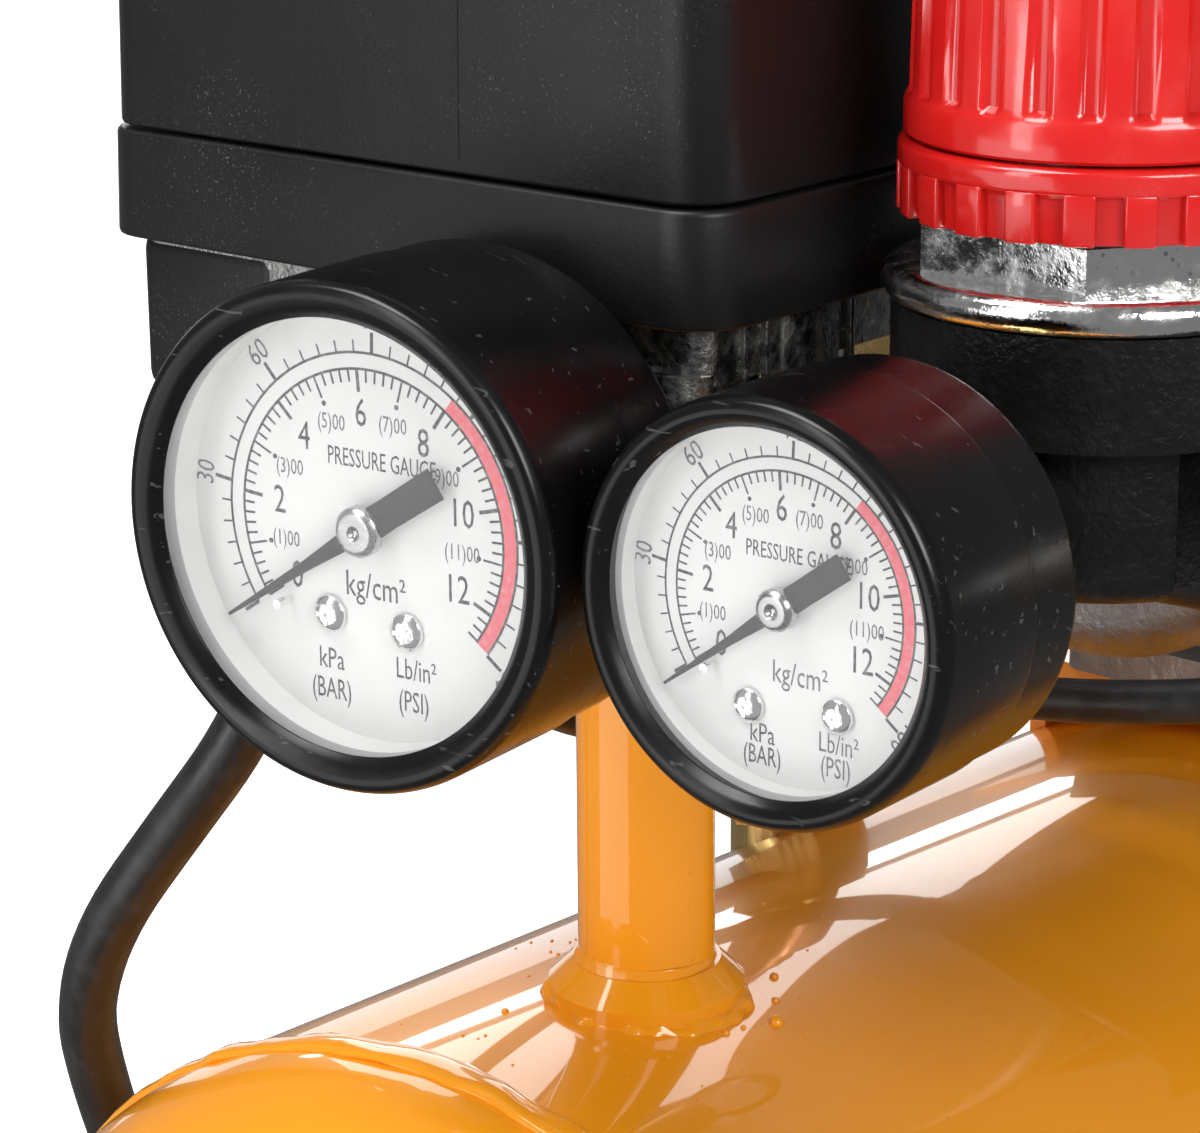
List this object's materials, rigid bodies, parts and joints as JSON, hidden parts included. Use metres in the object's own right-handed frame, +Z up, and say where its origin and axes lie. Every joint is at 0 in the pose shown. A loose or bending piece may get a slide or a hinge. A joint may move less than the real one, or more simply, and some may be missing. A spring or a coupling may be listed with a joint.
{
  "type": "air compressor",
  "caption": "Portable direct-drive air compressor: horizontal tank on wheels and a foot, finned pump, motor, pressure switch, regulator, dial gauges, handle and mains cord.",
  "frame": {"origin": "on the floor, under the middle of the machine without its mains cord and coil", "axes": "+X along the tank from the gauge end to the handle end, +Z up, +Y towards the side where the mains cord hangs"},
  "size_m": [0.45, 0.385, 0.451],
  "materials": {
    "tank_paint": "orange-yellow gloss enamel",
    "black_paint": "black powder coat",
    "black_plastic": "moulded black plastic",
    "gauge_black": "gloss black enamel",
    "red_plastic": "moulded red plastic",
    "chrome_plate": "bright plating",
    "zinc": "zinc plated",
    "cast_black": "black textured casting",
    "cast_aluminium": "cast aluminium",
    "brass": "machined brass",
    "rubber": "black rubber",
    "tyre_rubber": "black tyre",
    "clear_glass": "clear lens",
    "dial_print": "off-white printed dial",
    "pointer_black": "black pointer",
    "steel": "machined steel",
    "copper": "drawn copper",
    "lamination": "stacked laminations"
  },
  "bodies": {
    "frame": {"air_filter": "black_plastic", "axle": "zinc", "axle_bracket": "tank_paint", "bonnet_nut": "chrome_plate", "cable_glands": "rubber", "check_valve": "brass", "cord_coil": "rubber", "coupler_body": "brass", "crankcase": "cast_aluminium", "cylinder": "cast_black", "cylinder_head": "cast_aluminium", "delivery_pipe": "copper", "eccentric": "steel", "fan_cowl": "black_paint", "foot_bracket": "tank_paint", "front_cap": "tank_paint", "gauge_1_bezel": "gauge_black", "gauge_1_case": "gauge_black", "gauge_1_dial": "dial_print", "gauge_1_glass": "clear_glass", "gauge_2_bezel": "gauge_black", "gauge_2_case": "gauge_black", "gauge_2_dial": "dial_print", "gauge_2_glass": "clear_glass", "gauge_stems": "brass", "handle_frame": "black_paint", "handle_grip": "rubber", "mains_cord": "rubber", "manifold": "zinc", "motor_housing": "black_paint", "motor_lead": "rubber", "piston_rod": "cast_aluminium", "plug": "rubber", "pump_saddle": "tank_paint", "rear_cap": "tank_paint", "regulator_body": "cast_black", "riser_pipe": "tank_paint", "rubber_foot": "rubber", "safety_valve": "brass", "stator": "lamination", "switch_base": "zinc", "switch_cover": "black_plastic", "switch_skirt": "black_plastic", "tank_shell": "tank_paint", "terminal_box": "black_plastic", "unloader_tube": "copper"},
    "wheel_left": {"wheel_left": "black_plastic", "tyre_left": "tyre_rubber"},
    "wheel_right": {"wheel_right": "black_plastic", "tyre_right": "tyre_rubber"},
    "rotor": {"rotor": "steel", "fan": "black_plastic"},
    "regulator_knob": {"regulator_knob": "red_plastic"},
    "lock_ring": {"lock_ring": "red_plastic"},
    "switch_knob": {"switch_knob": "red_plastic"},
    "gauge_1_pointer": {"gauge_1_pointer": "pointer_black"},
    "gauge_2_pointer": {"gauge_2_pointer": "pointer_black"},
    "safety_ring": {"safety_ring": "zinc"},
    "coupler_sleeve": {"coupler_sleeve": "chrome_plate"},
    "drain_screw": {"drain_screw": "brass"}
  },
  "joints": [
    {"name": "wheel_left_spin", "type": "hinge", "parent": "frame", "child": "wheel_left", "pos_m": [0.112, -0.1085, 0.064], "axis": [0, 1, 0], "continuous": true},
    {"name": "wheel_right_spin", "type": "hinge", "parent": "frame", "child": "wheel_right", "pos_m": [0.112, 0.1085, 0.064], "axis": [0, 1, 0], "continuous": true},
    {"name": "rotor_spin", "type": "hinge", "parent": "frame", "child": "rotor", "pos_m": [0, 0, 0.318], "axis": [1, 0, 0], "continuous": true},
    {"name": "knob_turn", "type": "hinge", "parent": "frame", "child": "regulator_knob", "pos_m": [-0.1321, -0.0565, 0.3685], "axis": [0, 0, -1], "range_deg": [0, 1440]},
    {"name": "lock_ring_turn", "type": "hinge", "parent": "frame", "child": "lock_ring", "pos_m": [-0.1321, -0.0565, 0.3599], "axis": [0, 0, 1], "range_deg": [-60, 60]},
    {"name": "switch_knob_pull", "type": "slide", "parent": "frame", "child": "switch_knob", "axis": [0, 0, 1], "range_m": [0, 0.006]},
    {"name": "gauge_1_needle", "type": "hinge", "parent": "frame", "child": "gauge_1_pointer", "pos_m": [-0.2068, -0.01075, 0.3289], "axis": [0.9848, 0.1736, 0], "range_deg": [0, 253]},
    {"name": "gauge_2_needle", "type": "hinge", "parent": "frame", "child": "gauge_2_pointer", "pos_m": [-0.1971, -0.0621, 0.3289], "axis": [0.9954, 0.0958, 0], "range_deg": [0, 253]},
    {"name": "safety_ring_pull", "type": "slide", "parent": "frame", "child": "safety_ring", "axis": [0.989, 0.1478, 0], "range_m": [0, 0.003], "stiffness_N_per_m": 800},
    {"name": "coupler_sleeve_pull", "type": "slide", "parent": "frame", "child": "coupler_sleeve", "axis": [-0.1478, 0.989, 0], "range_m": [0, 0.003], "stiffness_N_per_m": 1500},
    {"name": "drain_screw_turn", "type": "hinge", "parent": "frame", "child": "drain_screw", "pos_m": [-0.12, 0, 0.069], "axis": [0, 0, 1], "range_deg": [0, 540]}
  ]
}
